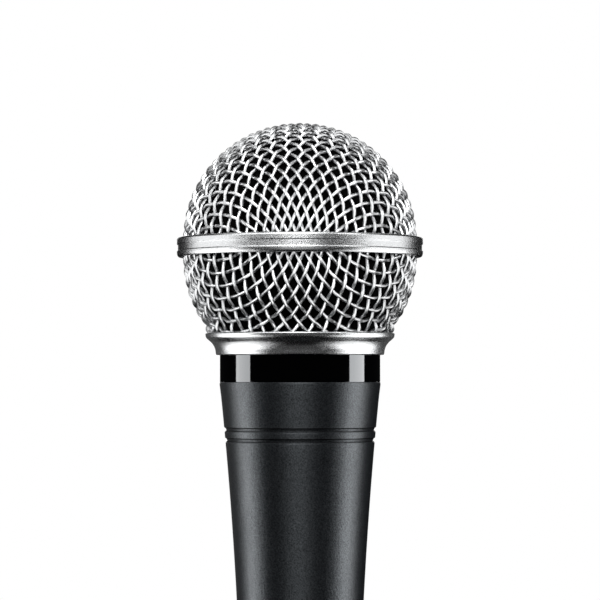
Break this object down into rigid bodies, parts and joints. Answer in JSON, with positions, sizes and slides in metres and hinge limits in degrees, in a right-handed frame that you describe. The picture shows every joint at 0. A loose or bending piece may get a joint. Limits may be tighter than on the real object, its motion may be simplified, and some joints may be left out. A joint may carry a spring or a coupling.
{
  "type": "dynamic microphone",
  "caption": "Handheld dynamic vocal microphone: woven steel ball grille with a band, screwed to a tapered metal handle with a three-pin connector in its tail.",
  "frame": {"origin": "centre of the tail's end face, on the microphone's axis", "axes": "+Z runs along the axis from the tail to the top of the ball grille; -Y is the front, the side the picture shows; +X is its right; the lock screw in the handle's back is on +Y"},
  "size_m": [0.0506, 0.0506, 0.166],
  "materials": {
    "charcoal_paint": "satin, fine texture",
    "gloss_black": "high gloss",
    "satin_silver": "satin plated",
    "plated_wire": "bright satin plated",
    "black_foam": "open-cell foam, matt",
    "black_plastic": "moulded, matt",
    "rubber": "matt",
    "plated_steel": "plated",
    "contact_plating": "plated contact metal",
    "magnet_nickel": "nickel plated",
    "felt": "felt and woven acoustic cloth",
    "polyester_film": "thin clear film",
    "copper_winding": "copper-clad winding, lacquered",
    "terminal_board": "fibre board",
    "lead_red": "insulated wire",
    "lead_black": "insulated wire",
    "lead_green": "insulated wire"
  },
  "bodies": {
    "handle": {"handle_barrel": "charcoal_paint", "nameplate_ring": "gloss_black", "xlr_insert": "black_plastic", "pin_1": "contact_plating", "pin_2": "contact_plating", "pin_3": "contact_plating", "lock_screw": "plated_steel", "ground_tab": "plated_steel", "mount_ring": "black_plastic", "rubber_isolator": "rubber", "lead_hot": "lead_red", "lead_cold": "lead_black", "lead_screen": "lead_green"},
    "cartridge": {"cartridge_housing": "black_plastic", "port_felt": "felt", "front_cap": "black_plastic", "front_screen": "felt", "magnet_yoke": "plated_steel", "magnet": "magnet_nickel", "pole_piece": "plated_steel", "motor_carrier": "black_plastic", "diaphragm_surround": "polyester_film", "clamp_ring": "black_plastic", "rear_chamber": "black_plastic", "terminal_board": "terminal_board", "terminal_hot": "contact_plating", "terminal_cold": "contact_plating"},
    "diaphragm": {"diaphragm_dome": "polyester_film", "voice_coil": "copper_winding"},
    "foam_liner": {"foam_dome": "black_foam", "foam_bowl": "black_foam"},
    "grille": {"grille_dome": "plated_wire", "grille_bowl": "plated_wire", "grille_band": "satin_silver", "grille_collar": "satin_silver"}
  },
  "joints": [
    {"name": "grille_rise", "type": "slide", "parent": "handle", "child": "foam_liner", "axis": [0, 0, 1], "range_m": [0, 0.00381]},
    {"name": "grille_turn", "type": "hinge", "parent": "foam_liner", "child": "grille", "pos_m": [0, 0, 0.1205], "axis": [0, 0, 1], "range_deg": [0, 1368]},
    {"name": "cartridge_float", "type": "slide", "parent": "handle", "child": "cartridge", "axis": [0, 0, 1], "range_m": [-0.0008, 0.0008], "stiffness_N_per_m": 4800, "springref_m": 0.00005, "deforming": ["rubber_isolator", "lead_hot", "lead_cold"]},
    {"name": "diaphragm_travel", "type": "slide", "parent": "cartridge", "child": "diaphragm", "axis": [0, 0, 1], "range_m": [-0.00025, 0.00025], "stiffness_N_per_m": 90, "springref_m": 0.00003, "deforming": ["diaphragm_surround"]}
  ],
  "couplings": [
    {"joint": "grille_rise", "follows": "grille_turn", "m_per_rad": 0.00015915}
  ]
}
